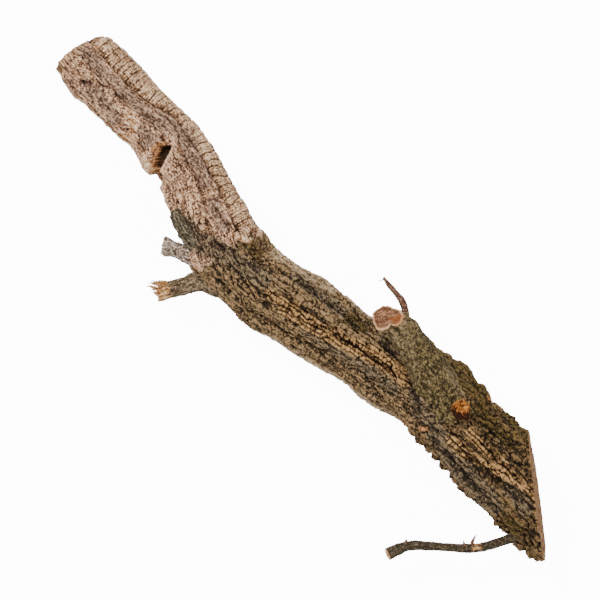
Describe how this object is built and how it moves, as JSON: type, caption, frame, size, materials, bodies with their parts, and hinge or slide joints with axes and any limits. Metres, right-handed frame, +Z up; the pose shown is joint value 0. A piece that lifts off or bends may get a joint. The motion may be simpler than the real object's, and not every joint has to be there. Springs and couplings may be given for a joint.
{
  "type": "cork oak branch",
  "caption": "Crooked cork oak limb with furrowed cork bark, sawn at both ends, with a sawn side limb, short broken stubs and thin twigs, lying on its bark.",
  "frame": {"origin": "middle of the branch's bounding box in plan, on the surface it lies on", "axes": "+Z up, away from that surface, +X and +Y level; the thin sawn end points to -X +Y and the thick mitred end to +X -Y"},
  "size_m": [0.3562, 0.3796, 0.0804],
  "materials": {
    "cork_bark": "rough, matte, furrowed"
  },
  "bodies": {
    "root": {"branch": "cork_bark"}
  },
  "joints": []
}
